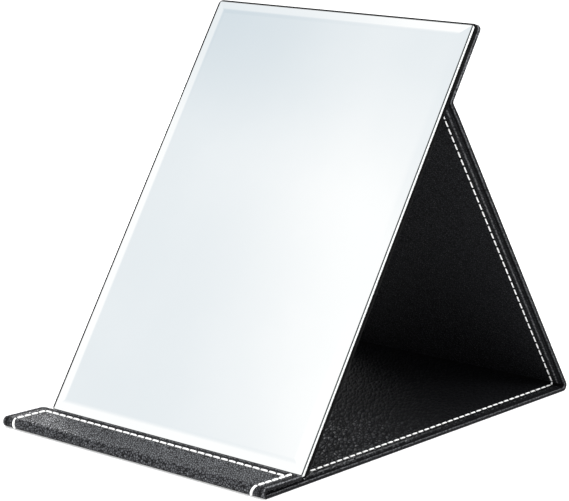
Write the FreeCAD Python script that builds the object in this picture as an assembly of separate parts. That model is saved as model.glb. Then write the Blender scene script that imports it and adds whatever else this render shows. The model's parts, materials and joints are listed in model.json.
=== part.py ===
import FreeCAD, Part
import collections
import math
import os

# A folding makeup mirror: a bevelled glass on a stiff back, carried by a leather-covered folder.
# The folder's panels are drawn laid out flat in one row along y, from the lip at the front over the
# base and the strut to the crown on the mirror's back. They are then folded up about three axes along
# x into the standing mirror. All lengths are in millimetres, all angles in degrees.

# Folder, all panels alike
cover_width = 200.0
skin_thickness = 0.5
board_thickness = 1.0
lining_thickness = 0.4
turn_in_width = 13.0
lining_inset = 3.0
cover_corner_radius = 3.5
edge_round_share = 0.42

# Panels along the folder, from fold to fold or to the free edge
strut_length = 224.0
crown_height = 47.2
lip_length = 29.5

# The crown and its hinge are trimmed to hide behind the mirror, and are sewn a little to the right
crown_width = 196.4
crown_offset = 1.5

# How it stands
mirror_lean = 57.5
strut_lean = 56.2

# Folds: the inner bend of the rear fold, the hollow of the top hinge, the room inside the lip's nose
rear_bend_radius = 1.0
top_bend_radius = 1.2
lip_gap = 1.4

# Mirror panel, glued to the crown a little to the right of the folder's middle
cover_overhang = 3.1
top_overhang = 0.8
mirror_offset = 2.3
wrap_thickness = 0.4
back_board_thickness = 0.8
wrap_turn_in_width = 8.0
mirror_corner_radius = 3.0
glass_margin = 1.8
glass_foot_margin = 0.4
glass_offset = 0.5
glass_edge_thickness = 2.0
bevel_width = 6.7
bevel_depth = 1.0
tape_count = 3
tape_width = 25.0
tape_end_margin = 20.0

# Clearances: mirror over the laid-flat strut, mirror's foot over the base and behind the lip, and the
# lip's free edge over the base
mirror_gap = 0.3
foot_gap = 0.25
lip_stop_gap = 0.3
lip_rest_gap = 0.7

# Stitching: the lip's seam runs nearer to its edges, and not quite in the middle
seam_inset = 9.7
lip_seam_left_inset = 9.0
lip_seam_right_inset = 7.0
lip_seam_end_inset = 7.0
seam_end_inset = 2.0
stitch_pitch = 5.7
stitch_length_share = 0.86
stitch_shoulder_share = 0.4
thread_width = 0.8
thread_height = 0.35
thread_clearance = 0.05
groove_depth = 0.25

# Closing magnets in the lip and steel plates in the crown
magnet_diameter = 10.0
magnet_spacing = 100.0

overrun = 1.0

# Worked out from the sizes above
skin_height = 2 * skin_thickness + board_thickness
panel_thickness = skin_height + lining_thickness
mirror_width = cover_width - 2 * cover_overhang
mirror_back_z = panel_thickness + mirror_gap
wrap_height = 2 * wrap_thickness + back_board_thickness
glass_back_z = mirror_back_z + wrap_height
strut_turn = 180.0 - strut_lean
hinge_turn = strut_turn - mirror_lean
lip_turn = 180.0 + math.degrees(math.asin((lip_gap - lip_rest_gap) / lip_length))

X_AXIS = FreeCAD.Vector(1, 0, 0)
Y_AXIS = FreeCAD.Vector(0, 1, 0)
Z_AXIS = FreeCAD.Vector(0, 0, 1)

Plan = collections.namedtuple("Plan", "width start end start_closed end_closed corner")
Seam = collections.namedtuple("Seam", "left right end")


def turned(y, z, angle):
    """A point of the side profile, turned about x."""
    cosine = math.cos(math.radians(angle))
    sine = math.sin(math.radians(angle))
    return y * cosine - z * sine, y * sine + z * cosine


# The standing triangle, seen from the rear fold's axis: where the top hinge comes to lie, how far up
# the mirror that is when the mirror's foot stands on the base, and where its foot meets the lip.
rear_axis_z = panel_thickness + rear_bend_radius
hinge_y, hinge_rise = turned(strut_length, -top_bend_radius - rear_axis_z, strut_turn)
hinge_to_back = mirror_back_z + top_bend_radius
foot_drop = rear_axis_z + hinge_rise - panel_thickness - foot_gap
mirror_lean_rad = math.radians(mirror_lean)
hinge_height = (foot_drop + hinge_to_back * math.cos(mirror_lean_rad)) / math.sin(mirror_lean_rad)
foot_y = hinge_y + turned(-hinge_height, hinge_to_back, mirror_lean)[0]
glass_foot_y = foot_y + turned(glass_foot_margin, wrap_height + glass_edge_thickness, mirror_lean)[0]
lip_axis_z = panel_thickness + lip_gap / 2
lip_reach = turned(-lip_length, -lip_axis_z, -lip_turn)[0]
base_length = lip_reach + lip_stop_gap - glass_foot_y
mirror_height = hinge_height + crown_height - top_overhang

# The three fold axes, with the origin below the middle of the standing mirror
lip_axis_y = (lip_axis_z - base_length - rear_axis_z) / 2
rear_axis_y = lip_axis_y + base_length
top_axis_y = rear_axis_y + strut_length
LIP_AXIS = FreeCAD.Vector(0, lip_axis_y, lip_axis_z)
REAR_AXIS = FreeCAD.Vector(0, rear_axis_y, rear_axis_z)
TOP_AXIS_FLAT = FreeCAD.Vector(0, top_axis_y, -top_bend_radius)

BASE_PLAN = Plan(cover_width, lip_axis_y, rear_axis_y, False, False, 0)
STRUT_PLAN = Plan(cover_width, rear_axis_y, top_axis_y, False, False, 0)
LIP_PLAN = Plan(cover_width, lip_axis_y - lip_length, lip_axis_y, True, False, cover_corner_radius)
CROWN_PLAN = Plan(crown_width, top_axis_y, top_axis_y + crown_height, False, True, cover_corner_radius)
MIRROR_PLAN = Plan(
    mirror_width,
    top_axis_y - hinge_height,
    top_axis_y - hinge_height + mirror_height,
    True,
    True,
    mirror_corner_radius,
)

PANEL_SEAM = Seam(seam_inset, seam_inset, seam_inset)
LIP_SEAM = Seam(lip_seam_left_inset, lip_seam_right_inset, lip_seam_end_inset)


# Sheets and panels


def plan_wire(plan, z):
    """Outline of a panel at height z, with round corners at its closed ends."""
    half = plan.width / 2
    start_radius = plan.corner if plan.start_closed else 0
    end_radius = plan.corner if plan.end_closed else 0
    corners = [
        (half, plan.start, -90, start_radius),
        (half, plan.end, 0, end_radius),
        (-half, plan.end, 90, end_radius),
        (-half, plan.start, 180, start_radius),
    ]
    arcs = []
    for x, y, first_angle, radius in corners:
        middle_x = x - math.copysign(radius, x)
        middle_y = y + radius if y == plan.start else y - radius
        points = []
        for angle in (first_angle, first_angle + 45, first_angle + 90):
            across = radius * math.cos(math.radians(angle))
            along = radius * math.sin(math.radians(angle))
            points.append(FreeCAD.Vector(middle_x + across, middle_y + along, z))
        arcs.append(points)
    edges = []
    for index, points in enumerate(arcs):
        if corners[index][3] > 0:
            edges.append(Part.Arc(*points).toShape())
        next_points = arcs[(index + 1) % len(arcs)]
        edges.append(Part.LineSegment(points[2], next_points[0]).toShape())
    return Part.Wire(edges)


def sheet(plan, bottom, height):
    """Flat sheet that fills a panel's outline."""
    return Part.Face(plan_wire(plan, bottom)).extrude(Z_AXIS * height)


def inset(plan, distance):
    """The same outline set back from its sides and closed ends."""
    return Plan(
        plan.width - 2 * distance,
        plan.start + distance if plan.start_closed else plan.start,
        plan.end - distance if plan.end_closed else plan.end,
        plan.start_closed,
        plan.end_closed,
        max(plan.corner - distance, 0),
    )


def round_block(plan, bottom, height):
    """Sheet with its top and bottom edges rounded, except across an open end."""
    block = sheet(plan, bottom, height)
    open_ends = []
    if not plan.start_closed:
        open_ends.append(plan.start)
    if not plan.end_closed:
        open_ends.append(plan.end)
    edges = []
    for edge in block.Edges:
        box = edge.BoundBox
        level = box.ZLength < box.DiagonalLength / 2
        across_open_end = any(abs(box.YMin - y) + abs(box.YMax - y) < skin_thickness for y in open_ends)
        if level and not across_open_end:
            edges.append(edge)
    return block.makeFillet(edge_round_share * height, edges)


def turned_skin(plan, bottom, skin, board, turn_in):
    """Leather round a board: one sheet below, up the edges and turned in over the board."""
    skin_block = round_block(plan, bottom, 2 * skin + board)
    board_space = sheet(inset(plan, skin), bottom + skin, board)
    middle_space = sheet(inset(plan, turn_in), bottom + skin + board, skin)
    return skin_block.cut(board_space).cut(middle_space)


def backed_lining(plan, thickness):
    """Inner leather over the turned-in edges, with the backing that fills the space between them."""
    top_sheet = sheet(inset(plan, lining_inset), skin_height, thickness)
    backing = sheet(inset(plan, turn_in_width), skin_height - skin_thickness, skin_thickness)
    return top_sheet.fuse(backing).removeSplitter()


def panel_board(plan):
    return sheet(inset(plan, skin_thickness), skin_thickness, board_thickness)


# Seams


def seam_runs(plan, seam):
    """Straight runs of a panel's seam: along both sides, and between them across each closed end."""
    left = seam.left - plan.width / 2
    right = plan.width / 2 - seam.right
    side_line = inset(plan, seam_end_inset)
    end_line = inset(plan, seam.end)
    runs = []
    for x in (left, right):
        runs.append((FreeCAD.Vector(x, side_line.start, 0), FreeCAD.Vector(x, side_line.end, 0)))
    for y, closed in ((end_line.start, plan.start_closed), (end_line.end, plan.end_closed)):
        if closed:
            between = FreeCAD.Vector(left + thread_width, y, 0), FreeCAD.Vector(right - thread_width, y, 0)
            runs.append(between)
    return runs


def groove(plan, seam, bottom, height):
    """The hollow that the pulled-down thread presses along a seam."""
    half = thread_width / 2 + thread_clearance
    grooves = []
    for first, last in seam_runs(plan, seam):
        along_y = abs(last.y - first.y) > abs(last.x - first.x)
        margin = FreeCAD.Vector(half, 0 if along_y else half, 0)
        low = first - margin
        size = last + margin - low
        grooves.append(Part.makeBox(size.x, size.y, height, low + Z_AXIS * bottom))
    return grooves[0].fuse(grooves[1:])


def stitch(length):
    """One stitch along y, flat where it lies on the leather and round above."""
    half = thread_width / 2
    shoulder = stitch_shoulder_share * thread_height
    left_foot = FreeCAD.Vector(-half, -length / 2, 0)
    right_foot = FreeCAD.Vector(half, -length / 2, 0)
    left_shoulder = left_foot + Z_AXIS * shoulder
    right_shoulder = right_foot + Z_AXIS * shoulder
    crest = FreeCAD.Vector(0, -length / 2, thread_height)
    outline = Part.Wire([
        Part.LineSegment(left_foot, right_foot).toShape(),
        Part.LineSegment(right_foot, right_shoulder).toShape(),
        Part.Arc(right_shoulder, crest, left_shoulder).toShape(),
        Part.LineSegment(left_shoulder, left_foot).toShape(),
    ])
    return Part.Face(outline).extrude(Y_AXIS * length)


def stitches(plan, seam, level, face_down):
    """A row of stitches along every run of a panel's seam, on its top or its under face."""
    row = []
    for first, last in seam_runs(plan, seam):
        run = last - first
        count = max(int(run.Length // stitch_pitch), 1)
        pitch = run.Length / count
        one = stitch(stitch_length_share * pitch)
        if abs(run.x) > abs(run.y):
            one.rotate(FreeCAD.Vector(), Z_AXIS, 90)
        if face_down:
            one.rotate(FreeCAD.Vector(), run, 180)
        for index in range(count):
            place = first + run * ((index + 0.5) / count) + Z_AXIS * level
            row.append(one.translated(place))
    return row


def panel_seam(plan, seam, raised):
    """Thread of a panel, lying in both its grooves; the under row stands out by the raised height."""
    upper = stitches(plan, seam, panel_thickness - groove_depth, False)
    under = stitches(plan, seam, thread_height - raised, True)
    return Part.makeCompound(upper + under)


def panel_skin(plan, seam, raised):
    """Outer leather of a panel with the groove of its seam pressed into the under face."""
    skin = turned_skin(plan, 0, skin_thickness, board_thickness, turn_in_width)
    return skin.cut(groove(plan, seam, -overrun, overrun + thread_height - raised))


def panel_lining(plan, seam):
    lining = backed_lining(plan, lining_thickness)
    return lining.cut(groove(plan, seam, panel_thickness - groove_depth, groove_depth + overrun))


# Soft folds between the panels


def fold_strip(y, width, bottom, thickness, axis, angle):
    """Leather bent round a fold axis, from the end face of one panel to that of the next."""
    corner = FreeCAD.Vector(-width / 2, y, bottom)
    across = corner + X_AXIS * width
    up = Z_AXIS * thickness
    section = Part.Face(Part.makePolygon([corner, across, across + up, corner + up, corner]))
    return section.revolve(axis, X_AXIS, angle)


def fold_leather(y, width, axis, angle):
    return fold_strip(y, width, 0, skin_thickness, axis, angle)


def fold_lining(y, width, axis, angle):
    lining_width = width - 2 * lining_inset
    return fold_strip(y, lining_width, skin_height, lining_thickness, axis, angle)


# Closing magnets


def magnet_discs(plan):
    """A pair of discs let into a panel's board, level with its faces."""
    middle_y = (plan.start + plan.end) / 2
    discs = []
    for side in (-1, 1):
        place = FreeCAD.Vector(side * magnet_spacing / 2, middle_y, skin_thickness)
        discs.append(Part.makeCylinder(magnet_diameter / 2, board_thickness, place))
    return discs


def board_with_discs(plan):
    return panel_board(plan).cut(magnet_discs(plan))


# Mirror panel


def mirror_glass():
    """Bevelled glass: a plate, a flat pyramid for the bevel, and round corners."""
    plan = inset(MIRROR_PLAN, glass_margin)._replace(start=MIRROR_PLAN.start + glass_foot_margin)
    square = plan._replace(start_closed=False, end_closed=False)
    flat = Plan(
        plan.width - 2 * bevel_width,
        plan.start + bevel_width,
        plan.end - bevel_width,
        False,
        False,
        0,
    )
    edge_top = glass_back_z + glass_edge_thickness
    plate = sheet(square, glass_back_z, glass_edge_thickness)
    outlines = [plan_wire(square, edge_top), plan_wire(flat, edge_top + bevel_depth)]
    bevel = Part.makeLoft(outlines, True, True)
    corners = sheet(plan, glass_back_z, glass_edge_thickness + bevel_depth)
    glass = plate.fuse(bevel).removeSplitter().common(corners)
    glass.translate(X_AXIS * glass_offset)
    return glass


def mounting_tape():
    """Strips of tape up the back of the glass, evenly spaced between the turned-in edges."""
    field = inset(MIRROR_PLAN, wrap_turn_in_width)
    spacing = field.width / tape_count
    length = field.end - field.start - 2 * tape_end_margin
    bottom = glass_back_z - wrap_thickness
    strips = []
    for index in range(tape_count):
        left = (index + 0.5) * spacing - field.width / 2 - tape_width / 2
        corner = FreeCAD.Vector(left, field.start + tape_end_margin, bottom)
        strips.append(Part.makeBox(tape_width, length, wrap_thickness, corner))
    return Part.makeCompound(strips)


def mirror_back_board():
    return sheet(inset(MIRROR_PLAN, wrap_thickness), mirror_back_z + wrap_thickness, back_board_thickness)


def mirror_board_wrap():
    return turned_skin(
        MIRROR_PLAN, mirror_back_z, wrap_thickness, back_board_thickness, wrap_turn_in_width
    )


# The pieces laid out flat


def flat_base():
    return {
        "base_outer_skin": panel_skin(BASE_PLAN, PANEL_SEAM, 0),
        "base_board": panel_board(BASE_PLAN),
        "base_inner_lining": panel_lining(BASE_PLAN, PANEL_SEAM),
        "base_seam_thread": panel_seam(BASE_PLAN, PANEL_SEAM, 0),
        "rear_fold_leather": fold_leather(rear_axis_y, cover_width, REAR_AXIS, strut_turn),
        "rear_fold_lining": fold_lining(rear_axis_y, cover_width, REAR_AXIS, strut_turn),
        "lip_fold_leather": fold_leather(lip_axis_y, cover_width, LIP_AXIS, -lip_turn),
        "lip_fold_lining": fold_lining(lip_axis_y, cover_width, LIP_AXIS, -lip_turn),
    }


def flat_lip():
    return {
        "lip_outer_skin": panel_skin(LIP_PLAN, LIP_SEAM, thread_height - groove_depth),
        "lip_board": board_with_discs(LIP_PLAN),
        "lip_inner_lining": panel_lining(LIP_PLAN, LIP_SEAM),
        "lip_seam_thread": panel_seam(LIP_PLAN, LIP_SEAM, thread_height - groove_depth),
        "lip_magnets": Part.makeCompound(magnet_discs(LIP_PLAN)),
    }


def flat_strut():
    hinge = {
        "top_hinge_leather": fold_leather(top_axis_y, crown_width, TOP_AXIS_FLAT, -hinge_turn),
        "top_hinge_lining": fold_lining(top_axis_y, crown_width, TOP_AXIS_FLAT, -hinge_turn),
    }
    for shape in hinge.values():
        shape.translate(X_AXIS * crown_offset)
    return {
        "strut_outer_skin": panel_skin(STRUT_PLAN, PANEL_SEAM, thread_height - groove_depth),
        "strut_board": panel_board(STRUT_PLAN),
        "strut_inner_lining": panel_lining(STRUT_PLAN, PANEL_SEAM),
        "strut_seam_thread": panel_seam(STRUT_PLAN, PANEL_SEAM, thread_height - groove_depth),
        **hinge,
    }


def flat_crown():
    raised = thread_height - groove_depth
    pieces = {
        "crown_outer_skin": panel_skin(CROWN_PLAN, PANEL_SEAM, raised),
        "crown_board": board_with_discs(CROWN_PLAN),
        "crown_inner_lining": backed_lining(CROWN_PLAN, lining_thickness + mirror_gap),
        "crown_seam_thread": Part.makeCompound(
            stitches(CROWN_PLAN, PANEL_SEAM, thread_height - raised, True)
        ),
        "crown_keeper_plates": Part.makeCompound(magnet_discs(CROWN_PLAN)),
    }
    for shape in pieces.values():
        shape.translate(X_AXIS * crown_offset)
    return pieces


def flat_mirror():
    pieces = {
        "mirror_board_wrap": mirror_board_wrap(),
        "mirror_back_board": mirror_back_board(),
        "mirror_mounting_tape": mounting_tape(),
        "mirror_glass": mirror_glass(),
    }
    for shape in pieces.values():
        shape.translate(X_AXIS * mirror_offset)
    return pieces


# Folding up


def folded(pieces, turns):
    """The pieces turned about each axis in order."""
    for shape in pieces.values():
        for axis, angle in turns:
            shape.rotate(axis, X_AXIS, angle)
    return pieces


def standing_mirror():
    up_the_strut = [(TOP_AXIS_FLAT, -hinge_turn), (REAR_AXIS, strut_turn)]
    pieces = {}
    pieces.update(flat_base())
    pieces.update(folded(flat_lip(), [(LIP_AXIS, -lip_turn)]))
    pieces.update(folded(flat_strut(), [(REAR_AXIS, strut_turn)]))
    pieces.update(folded(flat_crown(), up_the_strut))
    pieces.update(folded(flat_mirror(), up_the_strut))
    return pieces


def main():
    os.makedirs("parts", exist_ok=True)
    for name, shape in standing_mirror().items():
        shape.exportStep(f"parts/{name}.step")
        print(name, len(shape.Solids), "solid(s), valid:", shape.isValid())
    print("rear fold axis y, z:", rear_axis_y, rear_axis_z, "turned by", strut_turn)
    print("top hinge axis y, z:", rear_axis_y + hinge_y, rear_axis_z + hinge_rise, "turned by", hinge_turn)
    print("lip fold axis y, z:", lip_axis_y, lip_axis_z, "turned by", lip_turn)
    print("base length:", base_length)
    print("mirror width, height, hinge height:", mirror_width, mirror_height, hinge_height)


main()
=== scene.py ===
# %% [markdown]
# # A folding makeup mirror
# A bevelled mirror leans on a folder of black imitation leather. The folder is one long cover with four
# stiff panels in it: a lip that stops the mirror's foot, a base, a strut, and a crown that is glued to
# the mirror's back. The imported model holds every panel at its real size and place. This lesson dresses
# it: soft covers with turned edges, linings, stitching, glass, finishes, light and a camera.

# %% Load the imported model
import json
import math
from collections import namedtuple

import bmesh
import bpy
from mathutils import Matrix, Vector


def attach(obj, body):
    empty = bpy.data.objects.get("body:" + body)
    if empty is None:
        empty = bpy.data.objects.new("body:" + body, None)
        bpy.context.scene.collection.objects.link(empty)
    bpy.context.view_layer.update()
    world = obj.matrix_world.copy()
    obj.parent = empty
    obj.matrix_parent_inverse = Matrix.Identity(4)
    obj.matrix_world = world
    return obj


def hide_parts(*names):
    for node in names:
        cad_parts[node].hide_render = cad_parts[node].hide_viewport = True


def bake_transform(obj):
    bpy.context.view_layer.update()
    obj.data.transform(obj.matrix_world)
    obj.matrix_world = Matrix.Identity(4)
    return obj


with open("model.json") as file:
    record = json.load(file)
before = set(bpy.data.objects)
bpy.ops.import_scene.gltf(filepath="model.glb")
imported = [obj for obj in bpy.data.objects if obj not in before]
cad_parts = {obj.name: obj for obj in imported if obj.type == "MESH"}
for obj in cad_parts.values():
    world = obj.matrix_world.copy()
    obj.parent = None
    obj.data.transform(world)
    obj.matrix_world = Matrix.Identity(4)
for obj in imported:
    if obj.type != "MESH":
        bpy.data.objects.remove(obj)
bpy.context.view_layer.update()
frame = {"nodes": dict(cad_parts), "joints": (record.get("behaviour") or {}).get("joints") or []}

# %% [markdown]
# ## The camera
# The camera stands where the photographer stood: about 1.3 m away, to the right of the mirror and a
# little above it, with a long lens. A camera could be aimed with a Track To constraint, but a constraint
# can't hold the slight roll of a hand-held shot. So three turns are multiplied into one: the roll, the
# tilt up from looking straight down, and the swing round the mirror.

# %% Place the camera
AZIMUTH = math.radians(40.32)
ELEVATION = math.radians(12.12)
ROLL = math.radians(0.486)
DISTANCE = 1.2896
AIM = Vector((-0.00308, -0.00637, 0.09664))
FOCAL_PIXELS = 2197.9
PHOTO_WIDTH = 569
SENSOR_WIDTH = 36

swing = Matrix.Rotation(AZIMUTH, 3, "Z")
tilt = Matrix.Rotation(math.pi / 2 - ELEVATION, 3, "X")
camera_turn = swing @ tilt @ Matrix.Rotation(ROLL, 3, "Z")
camera_place = AIM + camera_turn @ Vector((0, 0, DISTANCE))
bpy.ops.object.camera_add(location=camera_place, rotation=camera_turn.to_euler())
camera = bpy.context.object
camera.name = "photo_camera"
camera.data.sensor_width = SENSOR_WIDTH
camera.data.lens = FOCAL_PIXELS * SENSOR_WIDTH / PHOTO_WIDTH
bpy.context.scene.camera = camera
print("camera at", [round(place, 3) for place in camera.location])

# %% [markdown]
# ## Opening a piece and picking parts of it
# By hand, one presses Tab and clicks on faces. In a script the clicks become tests: a part of the mesh is
# picked by where it lies or where it faces. Everything else is deselected first, because an operator acts
# on all that is selected, in every object that is open.

# %% Tools for picking
MM = 0.001
TINY = 0.01 * MM


def choose(piece):
    """Select one piece, alone."""
    bpy.ops.object.select_all(action="DESELECT")
    piece.select_set(True)
    bpy.context.view_layer.objects.active = piece


def open_piece(piece):
    """Put one piece in edit mode, alone."""
    if bpy.context.mode != "OBJECT":
        bpy.ops.object.mode_set(mode="OBJECT")
    choose(piece)
    bpy.ops.object.mode_set(mode="EDIT")


def close_piece():
    bpy.ops.object.mode_set(mode="OBJECT")


def pick(kind, test):
    """Select the vertices, edges or faces of the open piece that pass a test."""
    bpy.ops.mesh.select_mode(type=kind)
    bpy.ops.mesh.select_all(action="DESELECT")
    data = bpy.context.object.data
    mesh = bmesh.from_edit_mesh(data)
    parts = {"VERT": mesh.verts, "EDGE": mesh.edges, "FACE": mesh.faces}[kind]
    for part in [part for part in parts if test(part)]:
        part.select_set(True)
    mesh.select_flush_mode()
    bmesh.update_edit_mesh(data)


def pick_all():
    bpy.ops.mesh.select_all(action="SELECT")


def ends(part):
    """The corner points of an edge or a face."""
    return [vertex.co for vertex in part.verts]


def rise(edge):
    """How far an edge climbs from end to end."""
    first, last = ends(edge)
    return abs(first.z - last.z)


def all_at(part, axis, place):
    """True if an edge or a face lies in a plane square to one axis."""
    return all(abs(point[axis] - place) < TINY for point in ends(part))


print("picking tools ready")

# %% [markdown]
# ## The folder laid out flat
# A folder is easiest to draw before it is folded. Here it lies along y with its outer face down: lip,
# base, strut, crown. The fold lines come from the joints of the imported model, so the folded pieces meet
# the same axes that move them. Each finished panel is then turned up about those axes, the way the real
# cover is.

# %% Panels and fold lines
COVER_WIDTH = 200 * MM
CROWN_WIDTH = 196.4 * MM
CROWN_SHIFT = 1.5 * MM
SKIN = 0.5 * MM
SKIN_HEIGHT = 2.0 * MM
LINING = 0.4 * MM
PANEL_HEIGHT = SKIN_HEIGHT + LINING
STRUT_LENGTH = 224 * MM
CROWN_HEIGHT = 47.2 * MM
LIP_LENGTH = 29.5 * MM
TOP_BEND = 1.2 * MM
LIP_GAP = 1.4 * MM
LIP_REST = 0.7 * MM
STRUT_TURN = 123.8
HINGE_TURN = 66.3
LIP_TURN = 180 + math.degrees(math.asin((LIP_GAP - LIP_REST) / LIP_LENGTH))

Axis = namedtuple("Axis", "y z")
joint_place = {joint["name"]: joint["pos_m"] for joint in frame["joints"]}
LIP_AXIS = Axis(*joint_place["lip_fold"][1:])
REAR_AXIS = Axis(*joint_place["rear_fold"][1:])
TOP_AXIS = Axis(REAR_AXIS.y + STRUT_LENGTH, -TOP_BEND)

TURNS = {
    "base": [],
    "lip": [(LIP_AXIS, -LIP_TURN)],
    "strut": [(REAR_AXIS, STRUT_TURN)],
    "mirror": [(TOP_AXIS, -HINGE_TURN), (REAR_AXIS, STRUT_TURN)],
}

FREE = True
FOLDED = False
Panel = namedtuple("Panel", "width start end start_free end_free")
PANELS = {
    "lip": Panel(COVER_WIDTH, LIP_AXIS.y - LIP_LENGTH, LIP_AXIS.y, FREE, FOLDED),
    "base": Panel(COVER_WIDTH, LIP_AXIS.y, REAR_AXIS.y, FOLDED, FOLDED),
    "strut": Panel(COVER_WIDTH, REAR_AXIS.y, TOP_AXIS.y, FOLDED, FOLDED),
    "crown": Panel(CROWN_WIDTH, TOP_AXIS.y, TOP_AXIS.y + CROWN_HEIGHT, FOLDED, FREE),
}
SHIFTS = {"crown": CROWN_SHIFT, "top_hinge": CROWN_SHIFT}
BODY_OF = {"lip": "lip", "base": "base", "strut": "strut", "crown": "mirror"}
for name, panel in PANELS.items():
    print(name, "panel is", round((panel.end - panel.start) / MM, 1), "mm long")

# %% Tools for turning


def turned(point, axis, angle):
    """A point turned about a fold line."""
    about = Matrix.Rotation(math.radians(angle), 3, "X")
    pivot = Vector((0, axis.y, axis.z))
    return pivot + about @ (Vector(point) - pivot)


def turn(axis, degrees, centre=(0, 0, 0)):
    """Turn what is selected. With no window Rotate goes the other way, so its angle is negative."""
    bpy.ops.transform.rotate(value=-math.radians(degrees), orient_axis=axis, center_override=centre)


def fold_up(piece, turns, shift=0):
    """Slide a flat piece across and turn it about its fold lines, all in the mesh."""
    open_piece(piece)
    pick_all()
    bpy.ops.transform.translate(value=(shift, 0, 0))
    for axis, degrees in turns:
        turn("X", degrees, (0, axis.y, axis.z))
    close_piece()


print("the strut turns up", STRUT_TURN, "degrees, and the lip turns over", round(LIP_TURN, 1))

# %% [markdown]
# ## A blank with turned edges
# Each panel's leather wraps a stiff card: it lies under the card, comes round the edge and is turned in
# over the top. One could sweep a profile round the outline. Working from a plane is plainer: round its
# corners, extrude it to a slab, open the ends that go on into a fold, bevel the edges round, then inset
# the faces again and again. Each inset leaves a ring that follows the edge at a fixed distance, and those
# rings are where the crease and the seam go.

# %% From a plane to a slab
Sheet = namedtuple("Sheet", Panel._fields + ("corner", "level", "height", "rounding"))


def end_places(sheet, free):
    """Where a sheet ends in a free edge, or where it goes on into a fold."""
    flags = ((sheet.start, sheet.start_free), (sheet.end, sheet.end_free))
    return [place for place, is_free in flags if is_free == free]


def flat_sheet(name, sheet):
    """A rounded slab in the flat layout, open where it goes on into a fold."""
    middle = (sheet.start + sheet.end) / 2
    bpy.ops.mesh.primitive_plane_add(size=1, location=(0, middle, sheet.level))
    piece = bpy.context.object
    piece.name = piece.data.name = name
    bpy.ops.transform.resize(value=(sheet.width, sheet.end - sheet.start, 1))
    bpy.ops.object.transform_apply(location=True, rotation=True, scale=True)
    open_piece(piece)
    free_ends = end_places(sheet, FREE)
    if sheet.corner and free_ends:
        pick("VERT", lambda vertex: any(abs(vertex.co.y - y) < TINY for y in free_ends))
        bpy.ops.mesh.bevel(offset=sheet.corner, segments=6, affect="VERTICES")
    pick_all()
    bpy.ops.mesh.extrude_region_move(TRANSFORM_OT_translate={"value": (0, 0, sheet.height)})
    folded_ends = end_places(sheet, FOLDED)
    if folded_ends:
        pick("FACE", lambda face: any(all_at(face, 1, y) for y in folded_ends))
        bpy.ops.mesh.delete(type="FACE")
    return piece


def bevel_edges(test, width, segments=1):
    """Chamfer the edges that pass a test, or round them with more segments."""
    pick("EDGE", test)
    bpy.ops.mesh.bevel(offset=width, segments=segments, affect="EDGES")


def round_edges(sheet, levels, segments):
    """Bevel the long edges at the given heights, but not across a folded end."""
    def along_free_edge(edge):
        if not any(all_at(edge, 2, level) for level in levels):
            return False
        return not any(all_at(edge, 1, y) for y in end_places(sheet, FOLDED))

    bevel_edges(along_free_edge, sheet.rounding, segments)


print("a sheet is told by", Sheet._fields)

# %% Rings inside an outline
UP = 1
DOWN = -1
ARC_SHARE = 0.9
FACING = 0.99


def pick_field(side):
    """Select the widest flat face on the upper or under side."""
    mesh = bmesh.from_edit_mesh(bpy.context.object.data)
    flat = [face for face in mesh.faces if face.normal.z * side > FACING]
    field = max(flat, key=lambda face: face.calc_area()).index
    pick("FACE", lambda face: face.index == field)


def rings(sheet, side, offsets):
    """Inset the field at each distance from the edge. A corner's arc shrinks to a point on the way."""
    level = sheet.level + (sheet.height if side == UP else 0)
    done = sheet.rounding
    arc_end = ARC_SHARE * sheet.corner
    pick_field(side)
    for offset in offsets:
        if end_places(sheet, FREE) and done < arc_end < offset:
            bpy.ops.mesh.inset(thickness=arc_end - done, use_boundary=False)
            merge_corners(sheet, level)
            pick_field(side)
            done = arc_end
        bpy.ops.mesh.inset(thickness=offset - done, use_boundary=False)
        done = offset


def merge_corners(sheet, level):
    """Close what is left of each rounded corner to one point."""
    for y in end_places(sheet, FREE):
        inward = 1 if y == sheet.start else -1
        for across in (-1, 1):
            corner = (sheet.width / 2 - sheet.corner) * across
            centre = Vector((corner, y + inward * sheet.corner, level))
            nearby = 2 * (1 - ARC_SHARE) * sheet.corner
            pick("VERT", lambda vertex: (vertex.co - centre).length < nearby)
            bpy.ops.mesh.merge(type="CENTER")


print("a corner is closed after", ARC_SHARE, "of its radius")

# %% [markdown]
# ## Outer leather of the four panels
# The outer cover has a fine crease 3 mm from its edge and a seam further in. On the inner face a groove
# runs where the turned-in edge meets the lining. They could be painted as bump, but a crease catches
# light at its rim, so rings of points are laid here that later steps press in. Solidify then gives the
# leather its half millimetre, inwards, because the blank was drawn at the outer face.

# %% Rings of a cover
COVER_CORNER = 3.5 * MM
COVER_ROUNDING = 0.84 * MM
CREASE = 3.0 * MM
CREASE_WIDTH = 0.6 * MM
GROOVE = 2.3 * MM
GROOVE_WIDTH = 0.7 * MM
SEAM_STEP = 0.5 * MM
SIDE_RINGS = 3
TURN_IN = 13 * MM

crease_rings = [CREASE - CREASE_WIDTH, CREASE, CREASE + CREASE_WIDTH]
groove_rings = [GROOVE - 1.4 * GROOVE_WIDTH, GROOVE - 0.7 * GROOVE_WIDTH, GROOVE, GROOVE + GROOVE_WIDTH]

Seam = namedtuple("Seam", "left right end")
PANEL_SEAM = Seam(9.7 * MM, 9.7 * MM, 9.7 * MM)
SEAMS = dict.fromkeys(PANELS, PANEL_SEAM)
SEAMS["lip"] = Seam(9 * MM, 7 * MM, 7 * MM)


def cover_sheet(panel):
    """The blank of outer leather round one panel."""
    return Sheet(*panel, COVER_CORNER, 0, SKIN_HEIGHT, COVER_ROUNDING)


def seam_rings(seam, inset):
    """Close distances from the edge on both sides of every seam line of a panel."""
    first = min(seam) - SIDE_RINGS * SEAM_STEP - inset
    steps = round((max(seam) - min(seam)) / SEAM_STEP) + 2 * SIDE_RINGS + 1
    return [first + step * SEAM_STEP for step in range(steps)]


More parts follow.
